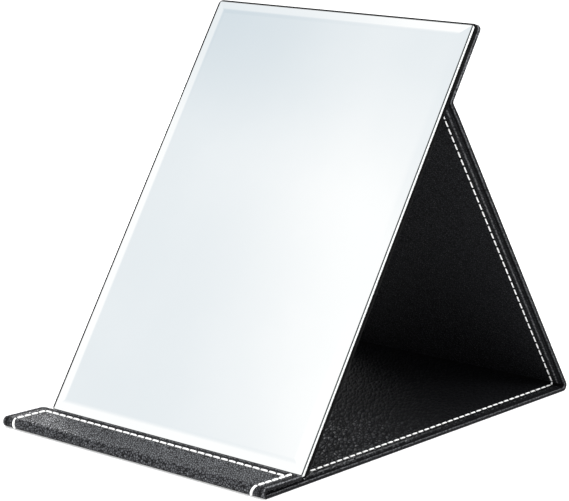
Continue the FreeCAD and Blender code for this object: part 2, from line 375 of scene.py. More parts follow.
def cover_blank(name, sheet, seam):
    """Leather of one panel as a surface, with rings where it will be pressed."""
    piece = flat_sheet(name, sheet)
    round_edges(sheet, (sheet.level, sheet.level + sheet.height), 4)
    rings(sheet, DOWN, crease_rings + seam_rings(seam, 0))
    rings(sheet, UP, groove_rings + [TURN_IN])
    bpy.ops.mesh.delete(type="FACE")
    return piece


outer_rings = crease_rings + seam_rings(PANEL_SEAM, 0)
print("rings of a cover, in mm from its edge:", [round(ring / MM, 1) for ring in outer_rings])

# %% Refine, tidy and thicken
FINE = 1.425 * MM
LONG_SHARE = 0.6


def run_along(edge, axis):
    """How far an edge runs along one axis, or 0 if it also runs another way."""
    first, last = ends(edge)
    straight = abs(first[1 - axis] - last[1 - axis]) < TINY and rise(edge) < TINY
    return abs(first[axis] - last[axis]) if straight else 0


def refine(sheet):
    """Cut the long edges along a panel into short lengths, and with a free end those across it too."""
    for axis in (1, 0) if end_places(sheet, FREE) else (1,):
        mesh = bmesh.from_edit_mesh(bpy.context.object.data)
        longest = max(run_along(edge, axis) for edge in mesh.edges)
        pick("EDGE", lambda edge: run_along(edge, axis) > LONG_SHARE * longest)
        bpy.ops.mesh.subdivide(number_cuts=round(longest / FINE) - 1)


def tidy_faces():
    """Merge double points and turn all faces outwards."""
    pick_all()
    bpy.ops.mesh.remove_doubles(threshold=0.5 * TINY)
    bpy.ops.mesh.normals_make_consistent(inside=False)


def close_tidy():
    tidy_faces()
    close_piece()


def use_modifier(piece, kind, settings):
    """Add a modifier, set it and apply it."""
    modifier = piece.modifiers.new(kind.lower(), kind)
    for name, value in settings.items():
        setattr(modifier, name, value)
    bpy.context.view_layer.objects.active = piece
    bpy.ops.object.modifier_apply(modifier=modifier.name)


def thicken(piece, thickness):
    """Give a surface its thickness on the inner side."""
    use_modifier(piece, "SOLIDIFY", {"thickness": thickness, "offset": -1, "use_even_offset": True})


def tell(piece):
    print(piece.name, len(piece.data.polygons), "faces")


print("long edges are cut about every", round(FINE / MM, 2), "mm")

# %% Cut the covers
covers = {}
for name, panel in PANELS.items():
    sheet = cover_sheet(panel)
    covers[name] = cover_blank(name + "_cover", sheet, SEAMS[name])
    refine(sheet)
    close_tidy()
    thicken(covers[name], SKIN)
    tell(covers[name])

# %% [markdown]
# ## Inner lining
# A thinner leather covers the inside and hides the turned-in edges, 3 mm short of the rim. It is a sheet
# with a barely rounded edge. Under it lies the backing that fills the space between the turned-in edges,
# which is one more inset, pushed down. The crown's lining is thicker, since the glue that holds the
# mirror's back counts with it.

# %% Cut the linings
LINING_INSET = 3.0 * MM
LINING_ROUNDING = 0.15 * MM
GLUE = 0.3 * MM
BAND = 5.4 * MM
BAND_WIDTH = 0.8 * MM
band_rings = [BAND - LINING_INSET + step * BAND_WIDTH for step in (-1.6, -0.8, 0, 0.8, 1.6)]


def lining_sheet(panel, height=LINING):
    """The blank of inner leather on one panel."""
    inside = panel._replace(
        width=panel.width - 2 * LINING_INSET,
        start=panel.start + LINING_INSET * panel.start_free,
        end=panel.end - LINING_INSET * panel.end_free,
    )
    return Sheet(*inside, COVER_CORNER - LINING_INSET, SKIN_HEIGHT, height, LINING_ROUNDING)


def lining_blank(name, sheet, seam, backed):
    """Inner leather of one panel as a closed sheet."""
    piece = flat_sheet(name, sheet)
    round_edges(sheet, (sheet.level + sheet.height,), 2)
    by_seam = seam_rings(seam, LINING_INSET)
    rings(sheet, UP, [ring for ring in band_rings if ring < by_seam[0]] + by_seam)
    if backed:
        rings(sheet._replace(rounding=0), DOWN, [TURN_IN - LINING_INSET])
        bpy.ops.mesh.extrude_region_move(TRANSFORM_OT_translate={"value": (0, 0, -SKIN)})
    return piece


def close_ends():
    pick_all()
    bpy.ops.mesh.fill_holes(sides=0)


linings = {}
for name, panel in PANELS.items():
    sheet = lining_sheet(panel, LINING + GLUE if name == "crown" else LINING)
    linings[name] = lining_blank(name + "_lining", sheet, SEAMS[name], True)
    refine(sheet)
    close_ends()
    close_tidy()
    tell(linings[name])

# %% [markdown]
# ## Where the stitches go
# A machine seam runs up both sides of every panel, and across a free end between the two side rows. The
# thread goes down a hole after each stitch and pulls the leather in there. Only the places are worked out
# here, so that the pulled-in leather and the thread use the same ones.

# %% Rows of stitches
STITCH_PITCH = 5.7 * MM
SEAM_END = 2.0 * MM
THREAD = 1.35 * MM
ROW_GAP = 0.7 * THREAD

Row = namedtuple("Row", "first last count")


def stitch_rows(seam, panel):
    """The rows of one panel. At a free end the seam turns on the left and crosses on the right."""
    left = seam.left - panel.width / 2
    right = panel.width / 2 - seam.right
    runs = []
    for x, inset in ((left, seam.end), (right, SEAM_END)):
        low = panel.start + inset * panel.start_free
        high = panel.end - inset * panel.end_free
        runs.append((Vector((x, low)), Vector((x, high))))
    for y, inward in ((panel.start, panel.start_free), (panel.end, -panel.end_free)):
        if inward:
            row_y = y + inward * seam.end
            runs.append((Vector((left, row_y)), Vector((right - ROW_GAP, row_y))))
    return [Row(first, last, round((last - first).length / STITCH_PITCH)) for first, last in runs]


ROWS = {name: stitch_rows(SEAMS[name], panel) for name, panel in PANELS.items()}
for name, rows in ROWS.items():
    print(name, "has rows of", [row.count for row in rows], "stitches")

# %% [markdown]
# ## Where the leather wears, and where shade is painted
# The rims of a folder are rubbed paler and they catch the light as well, so their pale band is partly
# wear and partly painted highlight. Creases, grooves and seams get painted shade, and so does the back
# of the base, with more of it further back. All of it could be painted by hand as a vertex colour. Here
# each point gets one number from its distance to the edge: above zero where it is pale, below zero where
# shade is painted. The finish reads the number later.

# %% Distances from edges and seams
THREAD_SHADE = 1.2 * MM


def edge_distance(place, sheet):
    """How far a point of a panel lies from its outline, round corners included."""
    gaps = [sheet.width / 2 - abs(place.x)]
    for y in end_places(sheet, FREE):
        gaps.append(place.y - y if y == sheet.start else y - place.y)
    nearest = sorted(gaps)[:2]
    if len(gaps) > 1 and nearest[1] < sheet.corner:
        return sheet.corner - math.hypot(*(sheet.corner - gap for gap in nearest))
    return nearest[0]


def hump(offset, width):
    """A smooth bell, 1 in the middle."""
    return math.exp(-(offset / width) ** 2)


def smooth(share):
    """A share from 0 to 1, eased at both ends."""
    return share ** 2 * (3 - 2 * share)


def beside_rows(place, rows):
    """For each row that passes a point: how many stitches along it the point lies, and how far beside."""
    for row in rows:
        length = (row.last - row.first).length
        along = (row.last - row.first) / length
        offset = Vector((place.x, place.y)) - row.first
        run = offset.dot(along)
        if -THREAD < run < length + THREAD:
            yield run * row.count / length, abs(offset.x * along.y - offset.y * along.x)


def thread_shade(place, rows):
    """1 under the thread, fading to 0 beside it."""
    return max((hump(across, THREAD_SHADE) for _, across in beside_rows(place, rows)), default=0)


print("the thread shades", round(THREAD_SHADE / MM, 1), "mm to each side")

# %% Mark rubbed and tucked places
# Painted shade: the outer edge is dark, and so are the crease, the groove and the seam. The crown's edge
# is a little pale instead.
EDGE_WIDTH = 0.35 * MM
SHADED_EDGE = -1
EDGE_SHADE_AND_WEAR = {"crown": 0.1}
# The pale band inside the rims is partly wear and partly painted highlight.
WORN_AND_LIT_PLACE = 0.68 * MM
WORN_AND_LIT_WIDTH = 0.4 * MM
CREASE_SHADE_WIDTH = 0.9 * MM
SEAM_SHADE = 0.9
# Painted shade on the base, deeper towards the back.
BACK_SHADE_START = -45 * MM
BACK_SHADE_FADE = 110 * MM
BACK_SHADE = 0.75


def cover_wear_and_shade(place, sheet, rows, edge=SHADED_EDGE):
    """Pale inside the rim, partly wear and partly painted highlight. Painted shade in the crease or
    groove and along the seam. The edge may be either.
    """
    distance = edge_distance(place, sheet)
    worn_and_lit = hump(distance - WORN_AND_LIT_PLACE, WORN_AND_LIT_WIDTH) + edge * hump(distance, EDGE_WIDTH)
    if place.z > sheet.height / 2:
        return worn_and_lit - hump(max(0, GROOVE - distance), CREASE_SHADE_WIDTH)
    return worn_and_lit - hump(distance - CREASE, CREASE_SHADE_WIDTH) - SEAM_SHADE * thread_shade(place, rows)


def back_shade(name, place):
    """Painted shade on the base: none at the front, growing towards the back."""
    if name != "base":
        return 0
    return BACK_SHADE * smooth(min(1, max(0, (place.y - BACK_SHADE_START) / BACK_SHADE_FADE)))


def lining_wear_and_shade(name, place, sheet, rows):
    """Pale in a band over the turned-in edge below, partly wear and partly painted highlight. Painted
    shade along the seam and at the back of the base.
    """
    distance = edge_distance(place, sheet)
    return hump(distance - BAND, BAND_WIDTH) - thread_shade(place, rows) - back_shade(name, place)


def mark_wear_and_shade(piece, wear_at):
    """Keep a number for each point of a piece."""
    wear = piece.data.attributes.new("wear", "FLOAT", "POINT")
    for vertex in piece.data.vertices:
        wear.data[vertex.index].value = wear_at(vertex.co)


print("wear runs", WORN_AND_LIT_WIDTH / MM, "mm in from the rims")

# %% [markdown]
# ## Pulled-in seams
# The thread draws the leather into a shallow channel that is deepest at the holes. Sculpting hundreds of
# dimples by hand would be endless. A vertex group can hold how hard each point is pulled, and a Displace
# modifier moves the points by it, so the seam is pressed in one go and then applied. The strut's upper
# corners are drawn in the same way, to the width of the hinge.

# %% How deep the leather is pressed
SEAM_DEPTH = 0.34 * MM
BETWEEN_HOLES = 0.45
CHANNEL_WIDTH = 0.9 * MM
CREASE_DEPTH = 0.36 * MM
GROOVE_DEPTH = 0.34 * MM


def seam_pull(place, rows):
    """How hard the thread pulls at a point, from 0 to 1."""
    pulls = [0]
    for stitches, across in beside_rows(place, rows):
        at_hole = 0.5 + 0.5 * math.cos(2 * math.pi * stitches)
        strength = BETWEEN_HOLES + (1 - BETWEEN_HOLES) * at_hole
        pulls.append(hump(across, CHANNEL_WIDTH) * strength)
    return max(pulls)


def cover_depth(place, sheet, rows):
    """Crease and seam on the outer face of a cover, groove on its turned-in edge."""
    if place.z < TINY:
        crease = CREASE_DEPTH * hump(edge_distance(place, sheet) - CREASE, CREASE_WIDTH)
        return max(crease, SEAM_DEPTH * seam_pull(place, rows))
    if place.z > SKIN_HEIGHT - TINY:
        return GROOVE_DEPTH * hump(edge_distance(place, sheet) - GROOVE, GROOVE_WIDTH)
    return 0


def lining_depth(place, rows):
    """Seam on the inner face of a lining."""
    return SEAM_DEPTH * seam_pull(place, rows) if place.z > PANEL_HEIGHT - TINY else 0


print("seams go", round(SEAM_DEPTH / MM, 2), "mm deep, creases", round(CREASE_DEPTH / MM, 2), "mm")

# %% Press the seams and draw the corners in
PRESS_LIMIT = 0.4 * MM
DRAW_LIMIT = 4 * MM
CORNER_LENGTH = 9 * MM


def push(piece, direction, strength, distance_at, least=0):
    """Move the points of a piece one way, each by its own distance, up to the strength."""
    group = piece.vertex_groups.new(name="distance")
    for vertex in piece.data.vertices:
        distance = distance_at(vertex.co)
        if distance > least:
            group.add([vertex.index], distance / abs(strength), "REPLACE")
    settings = {"direction": direction, "mid_level": 0, "strength": strength, "vertex_group": group.name}
    use_modifier(piece, "DISPLACE", settings)
    piece.vertex_groups.clear()


def press(piece, depth_at):
    """Press the points of a piece in, each by its own depth."""
    push(piece, "NORMAL", -PRESS_LIMIT, depth_at, TINY)


def corner_reach(place, side, full):
    """How far a point of the strut is drawn in on one side, so that its corner meets the hinge."""
    if place.x * side <= 0:
        return 0
    near_hinge = max(0, 1 - (TOP_AXIS.y - place.y) / CORNER_LENGTH)
    near_rim = max(0, 1 - (COVER_WIDTH / 2 - abs(place.x)) / SEAMS["strut"].right)
    return full * near_rim * smooth(near_hinge)


for name, panel in PANELS.items():
    sheet = cover_sheet(panel)
    rows = ROWS[name]
    edge = EDGE_SHADE_AND_WEAR.get(name, SHADED_EDGE)
    mark_wear_and_shade(covers[name], lambda point: cover_wear_and_shade(point, sheet, rows, edge))
    mark_wear_and_shade(linings[name], lambda point: lining_wear_and_shade(name, point, sheet, rows))
    press(covers[name], lambda point: cover_depth(point, sheet, rows))
    if name != "crown":
        press(linings[name], lambda point: lining_depth(point, rows))
for piece in (covers["strut"], linings["strut"]):
    for side in (-1, 1):
        narrowing = (COVER_WIDTH - CROWN_WIDTH) / 2 - side * CROWN_SHIFT
        push(piece, "X", -side * DRAW_LIMIT, lambda point: corner_reach(point, side, narrowing))
print("seams pressed on", list(PANELS))

# %% [markdown]
# ## The strut's card
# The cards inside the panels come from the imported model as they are. Only the strut's can't: the strut
# narrows a little at the hinge, and the square corners of its card would come through the leather. A new
# card takes its place, a slab with both upper corners cut off, as one would clip it with scissors.

# %% Clip the card
CARD = SKIN_HEIGHT - 2 * SKIN

card_sheet = Sheet(COVER_WIDTH - 2 * SKIN, REAR_AXIS.y, TOP_AXIS.y, FREE, FREE, 0, SKIN, CARD, 0)
strut_card = flat_sheet("strut_card", card_sheet)
bevel_edges(lambda edge: all_at(edge, 1, TOP_AXIS.y) and rise(edge) > CARD / 2, CORNER_LENGTH)
close_tidy()
tell(strut_card)

# %% [markdown]
# ## Soft folds
# Between two panels there is no card, only leather that bends. A fold is the end of a panel carried round
# the fold line, so a short blank gives the profile: everything but its end face is deleted, and Spin
# sweeps that face about the axis. It then meets the panels on both sides exactly.

# %% Sweep a profile


def spin(axis, degrees, steps):
    """Sweep what is open round a fold line. With no window Spin also turns the other way."""
    pick_all()
    centre = (0, axis.y, axis.z)
    bpy.ops.mesh.spin(steps=steps, angle=-math.radians(degrees), center=centre, axis=(1, 0, 0))
    tidy_faces()


def spin_fold(piece, axis, degrees, steps):
    """Keep the end face of a short blank and sweep it round a fold line."""
    open_piece(piece)
    pick("FACE", lambda face: all(abs(point.y - axis.y) < PRESS_LIMIT for point in ends(face)))
    bpy.ops.mesh.select_all(action="INVERT")
    bpy.ops.mesh.delete(type="FACE")
    pick_all()
    bpy.ops.transform.resize(value=(1, 0, 1), center_override=(0, axis.y, 0))
    spin(axis, degrees, steps)
    close_piece()
    return piece


print("spin tools ready")

# %% Spin the folds
PROFILE_LENGTH = 10 * MM
# Painted shade for the inside of the folds.
INSIDE_FOLD_SHADE = -0.8
UNDER_HEIGHT = 1.3 * MM


def short_cover(name, panel):
    """A short length of outer leather, creased, with pale rims (wear and painted highlight) and painted
    shade.
    """
    sheet = cover_sheet(panel)
    piece = cover_blank(name, sheet, PANEL_SEAM)
    close_tidy()
    thicken(piece, SKIN)
    mark_wear_and_shade(piece, lambda point: cover_wear_and_shade(point, sheet, []))
    press(piece, lambda point: cover_depth(point, sheet, []))
    return piece


def short_lining(name, panel):
    """A short length of inner leather, all of it darkened with painted shade."""
    piece = lining_blank(name, lining_sheet(panel), PANEL_SEAM, False)
    close_ends()
    close_tidy()
    mark_wear_and_shade(piece, lambda point: INSIDE_FOLD_SHADE)
    return piece


def shade_under(piece):
    """Paint shade on what lies close to the table, by lowering its wear-and-shade number."""
    wear = piece.data.attributes["wear"]
    for vertex in piece.data.vertices:
        wear.data[vertex.index].value -= max(0, 1 - vertex.co.z / UNDER_HEIGHT)


FOLDS = {
    "rear_fold": (COVER_WIDTH, REAR_AXIS, STRUT_TURN, 20),
    "top_hinge": (CROWN_WIDTH, TOP_AXIS, -HINGE_TURN, 12),
    "lip_fold": (COVER_WIDTH, LIP_AXIS, -LIP_TURN, 28),
}
fold_covers = {}
fold_linings = {}
for name, (width, *bend) in FOLDS.items():
    axis, angle, _ = bend
    panel = Panel(width, axis.y, axis.y + PROFILE_LENGTH, FOLDED, FOLDED)
    fold_covers[name] = spin_fold(short_cover(name + "_cover", panel), *bend)
    fold_linings[name] = spin_fold(short_lining(name + "_inside", panel), *bend)
    print(name, "turns", round(angle, 1), "degrees")
for name in ("rear_fold", "lip_fold"):
    shade_under(fold_covers[name])

# %% [markdown]
# ## Thread
# One stitch is a short round thread whose ends dive into their holes. A curve with a bevel would do, but
# there are hundreds of stitches, so each may have only a few dozen faces: a cylinder with eight sides,
# cut across in a few places, with its end rings drawn in and pushed down. An Array modifier then lays a
# whole row, and the rows of a panel are joined into one piece.

# %% Model one stitch
STITCH_LENGTH = 0.80 * STITCH_PITCH
STITCH_CUTS = (-0.42, -0.25, 0.25, 0.42)
THREAD_SIDES = 8
THREAD_SPREAD = 1.2
END_SIZE = 0.55
HOLE_DEPTH = 0.6 * MM
SHOULDER_DROP = 0.2 * HOLE_DEPTH

bpy.ops.mesh.primitive_cylinder_add(vertices=THREAD_SIDES, radius=THREAD / 2, depth=STITCH_LENGTH)
one_stitch = bpy.context.object
one_stitch.name = "one_stitch"
open_piece(one_stitch)
pick_all()
turn("X", -90)
bpy.ops.transform.resize(value=(THREAD_SPREAD, 1, 1), center_override=(0, 0, 0))
for cut in STITCH_CUTS:
    pick_all()
    bpy.ops.mesh.bisect(plane_co=(0, cut * STITCH_LENGTH, 0), plane_no=(0, 1, 0))
for way in (-1, 1):
    end = way * STITCH_LENGTH / 2
    pick("VERT", lambda vertex: abs(vertex.co.y - end) < TINY)
    bpy.ops.transform.resize(value=(END_SIZE, 1, END_SIZE), center_override=(0, end, 0))
    bpy.ops.transform.translate(value=(0, 0, -HOLE_DEPTH))
    shoulder = way * STITCH_CUTS[-1] * STITCH_LENGTH
    pick("VERT", lambda vertex: abs(vertex.co.y - shoulder) < TINY)
    bpy.ops.transform.translate(value=(0, 0, -SHOULDER_DROP))
close_tidy()
tell(one_stitch)

# %% How far the rows stand out
PROUD = {"lip": 0.65 * MM, "base": 0.0, "strut": 0.45 * MM, "crown": 0.45 * MM}
PROUD_INSIDE = {"lip": 0.14 * MM, "base": 0.42 * MM, "strut": 0.26 * MM}
PROUD_UNDER = 0.14 * MM
STITCHES_UNDER = 7


def split_row(row, stitches):
    """Part a row after a number of stitches."""
    place = row.first + (row.last - row.first) * stitches / row.count
    return Row(row.first, place, stitches), Row(place, row.last, row.count - stitches)


def inner_rows(name):
    """Rows on the inner face with their height. On the base they lie low under the lip and the mirror."""
    if name != "base":
        return [(row, PROUD_INSIDE[name]) for row in ROWS[name]]
    parts = []
    for row in ROWS[name]:
        under, clear = split_row(row, STITCHES_UNDER)
        parts += [(under, PROUD_UNDER), (clear, PROUD_INSIDE[name])]
    return parts


print("inner rows of the base:", [row.count for row, _ in inner_rows("base")], "stitches")

# %% Lay the rows
PLAIN = (1, 1, 1)
STITCH_SCALE = {"strut": (0.74, 1.06, 1), "base": (0.9, 0.96, 1)}


def lay_row(row, level, facing, scale=PLAIN):
    """Copy the stitch along one row, on a face that looks up or down. A tight one is thin and long."""
    choose(one_stitch)
    bpy.ops.object.duplicate()
    laid = bpy.context.object
    run = row.last - row.first
    pitch = run / row.count
    open_piece(laid)
    pick_all()
    bpy.ops.transform.resize(value=scale, center_override=(0, 0, 0))
    if facing == DOWN:
        turn("Y", -180)
    if abs(run.x) > abs(run.y):
        turn("Z", -90)
    place = row.first + pitch / 2
    bpy.ops.transform.translate(value=(place.x, place.y, level))
    close_piece()
    spacing = {"use_constant_offset": True, "constant_offset_displace": (pitch.x, pitch.y, 0)}
    use_modifier(laid, "ARRAY", {"count": row.count, "use_relative_offset": False, **spacing})
    return laid


def join_pieces(name, pieces):
    bpy.ops.object.select_all(action="DESELECT")
    for piece in pieces:
        piece.select_set(True)
    bpy.context.view_layer.objects.active = pieces[0]
    bpy.ops.object.join()
    pieces[0].name = pieces[0].data.name = name
    return pieces[0]


threads = {}
for name, rows in ROWS.items():
    outer_level = THREAD / 2 - PROUD[name]
    laid = [lay_row(row, outer_level, DOWN) for row in rows]
    if name != "crown":
        scale = STITCH_SCALE.get(name, PLAIN)
        for row, proud in inner_rows(name):
            laid.append(lay_row(row, PANEL_HEIGHT - THREAD / 2 + proud, UP, scale))
    threads[name] = join_pieces(name + "_stitching", laid)
    tell(threads[name])
bpy.data.objects.remove(one_stitch)

# %% [markdown]
# ## Thread round the folds
# The side seam doesn't stop at a fold: one long stitch goes round the nose of the lip, and one sits in
# the corner of the rear fold. A straight stitch would stand off there, so these few are spun: a small
# ring of thread is set on the leather and swept round the fold line, with its ends drawn in. The lip's
# seam lies nearer to the edge than the base's, so the rings of a nose stitch are also slid across.

# %% One stitch round a fold
BEND_STEPS = 10
RING_REACH = 0.62
BENT_END_SIZE = 0.6


def bent_stitch(axis, xs, level, angles, into):
    """One stitch round a fold line from x to x, at a height on the first panel.

    Its ends dive into the leather: towards the fold line where into is 1, away from it where it is -1.
    """
    first_x, last_x = xs
    first_angle, last_angle = angles
    first_place = Vector((first_x, axis.y, level))
    pivot = Vector((first_x, axis.y, axis.z))
    upright = (math.pi / 2, 0, 0)
    bpy.ops.mesh.primitive_circle_add(
        vertices=THREAD_SIDES, radius=THREAD / 2, fill_type="NGON", location=first_place, rotation=upright
    )
    stitch = bpy.context.object
    bpy.ops.transform.resize(value=(THREAD_SPREAD, 1, 1))
    bpy.ops.object.transform_apply(location=True, rotation=True, scale=True)
    fold_up(stitch, [(axis, first_angle)])
    open_piece(stitch)
    spin(axis, last_angle - first_angle, BEND_STEPS)
    for step in range(BEND_STEPS + 1):
        share = step / BEND_STEPS
        slide = Vector(((last_x - first_x) * share, 0, 0))
        centre = turned(first_place, axis, first_angle + (last_angle - first_angle) * share)
        pick("VERT", lambda vertex: (vertex.co - centre).length < RING_REACH * THREAD)
        bpy.ops.transform.translate(value=slide)
        if step in (0, BEND_STEPS):
            into_leather = (pivot - centre).normalized() * into
            middle = centre + slide
            bpy.ops.transform.resize(value=[BENT_END_SIZE] * 3, center_override=middle)
            bpy.ops.transform.translate(value=into_leather * HOLE_DEPTH)
    close_piece()
    return stitch


print("a bent stitch has", BEND_STEPS + 1, "rings")

# %% Spin the bent stitches
NOSE_ANGLES = (-36, 4 - LIP_TURN)
CORNER_ANGLES = (-14, STRUT_TURN + 14)
CORNER_PROUD = 0.2 * MM


def seam_places(name):
    """Where a panel's seam runs on the left and on the right."""
    half = PANELS[name].width / 2
    shift = SHIFTS.get(name, 0)
    return shift - half + SEAMS[name].left, shift + half - SEAMS[name].right


def fold_thread(name, axis, panels, level, angles, into):
    """The left and the right stitch round one fold."""
    runs = zip(*(seam_places(panel) for panel in panels))
    return join_pieces(name, [bent_stitch(axis, xs, level, angles, into) for xs in runs])


outer_level = THREAD / 2 - PROUD["lip"]
inner_level = PANEL_HEIGHT - THREAD / 2 + CORNER_PROUD
nose_thread = fold_thread("nose_stitching", LIP_AXIS, ("base", "lip"), outer_level, NOSE_ANGLES, 1)
corner_thread = fold_thread(
    "rear_corner_stitching", REAR_AXIS, ("base", "strut"), inner_level, CORNER_ANGLES, -1
)
tell(nose_thread)
tell(corner_thread)

# %% [markdown]
# ## The mirror panel
# Behind the glass is a thin board wrapped like the panels, but on all four sides. It reuses the blank
# with both ends free. The glass itself is a plate whose top face is inset and raised in one step, which
# makes the wide bevel. The edge between side and bevel gets a hair of a chamfer, as ground glass has.

# %% Wrap the mirror's back
MIRROR_WIDTH = 193.8 * MM
MIRROR_SHIFT = 2.3 * MM
TOP_OVERHANG = 0.8 * MM
FOOT_GAP = 0.25 * MM
MIRROR_BACK = PANEL_HEIGHT + GLUE
WRAP = 0.4 * MM
WRAP_HEIGHT = 1.6 * MM
WRAP_ROUNDING = 0.6 * MM
WRAP_TURN_IN = 8 * MM
WRAP_SWELL = 0.7 * MM
MIRROR_CORNER = 3 * MM

lean = math.radians(STRUT_TURN - HINGE_TURN)
hinge_rise = joint_place["top_hinge"][2] - PANEL_HEIGHT - FOOT_GAP
hinge_height = (hinge_rise + (MIRROR_BACK + TOP_BEND) * math.cos(lean)) / math.sin(lean)
mirror_foot = TOP_AXIS.y - hinge_height
mirror_top = TOP_AXIS.y + CROWN_HEIGHT - TOP_OVERHANG
wrap_panel = Panel(MIRROR_WIDTH + WRAP_SWELL, mirror_foot, mirror_top, FREE, FREE)
wrap_sheet = Sheet(*wrap_panel, MIRROR_CORNER, MIRROR_BACK, WRAP_HEIGHT, WRAP_ROUNDING)
mirror_wrap = flat_sheet("mirror_back_wrap", wrap_sheet)
round_edges(wrap_sheet, (MIRROR_BACK, MIRROR_BACK + WRAP_HEIGHT), 4)
rings(wrap_sheet, UP, [WRAP_TURN_IN])
bpy.ops.mesh.delete(type="FACE")
close_tidy()
thicken(mirror_wrap, WRAP)
tell(mirror_wrap)

# %% Grind the glass
GLASS_MARGIN = 1.8 * MM
GLASS_FOOT = 0.4 * MM
GLASS_SHIFT = 0.5 * MM
GLASS_EDGE = 2.0 * MM
BEVEL_WIDTH = 6.7 * MM
BEVEL_DEPTH = 1.0 * MM
GLASS_CORNER = MIRROR_CORNER - GLASS_MARGIN
ARRIS = 0.5 * MM
BEVEL_EASE = 1.6 * MM
SIDE_TILT = 0.3
BEVEL_TILT = 0.8

glass_back = MIRROR_BACK + WRAP_HEIGHT
glass_width = MIRROR_WIDTH - 2 * GLASS_MARGIN
glass_ends = (mirror_foot + GLASS_FOOT, mirror_top - GLASS_MARGIN)
glass_sheet = Sheet(glass_width, *glass_ends, FREE, FREE, 0, glass_back, GLASS_EDGE, 0)
glass_front = glass_back + GLASS_EDGE + BEVEL_DEPTH


def rims_the_side(edge):
    """True for the edges between the glass's side and its bevel."""
    tilts = sorted(face.normal.z for face in edge.link_faces)
    return len(tilts) == 2 and abs(tilts[0]) < SIDE_TILT and tilts[1] > BEVEL_TILT


glass = flat_sheet("bevelled_mirror", glass_sheet)
pick_field(UP)
bpy.ops.mesh.inset(thickness=BEVEL_WIDTH, depth=BEVEL_DEPTH)
bevel_edges(lambda edge: rise(edge) > BEVEL_DEPTH + TINY, GLASS_CORNER, 5)
bevel_edges(rims_the_side, ARRIS)
bevel_edges(lambda edge: all_at(edge, 2, glass_front), BEVEL_EASE, 5)
close_tidy()
tell(glass)

# %% [markdown]
# ## Folding it up
# Until now everything lies flat. Each panel piece is turned about its fold lines and told which body it
# rides on, and the CAD part that it stands for is hidden. The folds already lie in place from their
# sweep; only the top hinge is turned with the strut, and their CAD parts are hidden too.

# %% Fold and hand over the panels


def hand_over(piece, body, node, shift=0):
    """Fold a piece up, say what it rides on, and hide the CAD part it stands for."""
    fold_up(piece, TURNS[body], shift)
    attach(piece, body)
    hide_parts(node)


for name, body in BODY_OF.items():
    shift = SHIFTS.get(name, 0)
    hand_over(covers[name], body, name + "_outer_skin", shift)
    hand_over(linings[name], body, name + "_inner_lining", shift)
    hand_over(threads[name], body, name + "_seam_thread", shift)
hand_over(strut_card, "strut", "strut_board")
hand_over(mirror_wrap, "mirror", "mirror_board_wrap", MIRROR_SHIFT - WRAP_SWELL / 2)
hand_over(glass, "mirror", "mirror_glass", MIRROR_SHIFT + GLASS_SHIFT)
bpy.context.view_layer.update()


def blend_fold(piece, name, level):
    """Bake a fold's place into its mesh; level, its height on the first panel, is not used."""
    _, axis, angle, _ = FOLDS[name]
    start = Vector((0, axis.y, level))
    end = turned(start, axis, angle)
    if name == "top_hinge":
        start = turned(start, REAR_AXIS, STRUT_TURN)
        end = turned(end, REAR_AXIS, STRUT_TURN)
    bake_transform(piece)


for name in FOLDS:
    dressed = (
        (fold_covers[name], 0, name + "_leather", "outer_leather"),
        (fold_linings[name], PANEL_HEIGHT, name + "_lining", "lining_leather"),
    )
    for piece, level, node, slot in dressed:
        if name == "top_hinge":
            fold_up(piece, TURNS["strut"], SHIFTS[name])
        blend_fold(piece, name, level)
        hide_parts(node)
blend_fold(nose_thread, "lip_fold", 0)
blend_fold(corner_thread, "rear_fold", PANEL_HEIGHT)

# %% [markdown]
# ## Writing finishes as sums
# A material is a graph of nodes, and drawing it in code gets long. A small class wraps a node's output
# so that Python's own signs add the Math nodes: 1 - mask or a * b reads as it would on paper. Every other
# node comes from one method that takes its kind, its settings and what goes into its sockets.

# %% Wires


class Wire:
    """One output of a node, usable in sums."""

    def __init__(self, finish, socket):
        self.finish = finish
        self.socket = socket

    def math(self, operation, first, second):
        return self.finish.node("ShaderNodeMath", {"operation": operation}, {0: first, 1: second})

    def __add__(self, other):
        return self.math("ADD", self, other)

    def __sub__(self, other):
        return self.math("SUBTRACT", self, other)

    def __rsub__(self, other):
        return self.math("SUBTRACT", other, self)

    def __mul__(self, other):
        return self.math("MULTIPLY", self, other)

    __radd__ = __add__
    __rmul__ = __mul__


print("wires can be added, subtracted and multiplied")

# %% Finishes


class Finish:
    """A node tree that is being drawn."""

    def __init__(self, owner):
        owner.use_nodes = True
        self.owner = owner
        self.tree = owner.node_tree
        self.tree.nodes.clear()

    def node(self, kind, settings=None, sockets=None, output=0):
        made = self.tree.nodes.new(kind)
        for name, value in (settings or {}).items():
            setattr(made, name, value)
        for key, value in (sockets or {}).items():
            if isinstance(value, Wire):
                self.tree.links.new(value.socket, made.inputs[key])
            else:
                made.inputs[key].default_value = value
        return Wire(self, made.outputs[output]) if made.outputs else None

    def place(self):
        return self.node("ShaderNodeTexCoord", output="Object")

    def noise(self, place, per_metre, detail=2):
        sockets = {"Vector": place, "Scale": per_metre, "Detail": detail}
        return self.node("ShaderNodeTexNoise", None, sockets)

    def blend(self, share, first, second):
        colours = [shade if isinstance(shade, Wire) else (*shade, 1) for shade in (first, second)]
        sockets = {0: share, 6: colours[0], 7: colours[1]}
        return self.node("ShaderNodeMix", {"data_type": "RGBA"}, sockets, 2)

    def step(self, value, low, high):
        sockets = {"Value": value, "From Min": low, "From Max": high}
        return self.node("ShaderNodeMapRange", {"interpolation_type": "SMOOTHSTEP"}, sockets)

    def bump(self, height, depth, strength=1.0):
        sockets = {"Height": height, "Distance": depth, "Strength": strength}
        return self.node("ShaderNodeBump", None, sockets)

    def close(self, sockets):
        """End the tree in one Principled shader."""
        shader = self.node("ShaderNodeBsdfPrincipled", None, sockets)
        self.node("ShaderNodeOutputMaterial", None, {"Surface": shader})
        return self.owner


def new_finish(name):
    return Finish(bpy.data.materials.new(name))


print("finish tools ready")
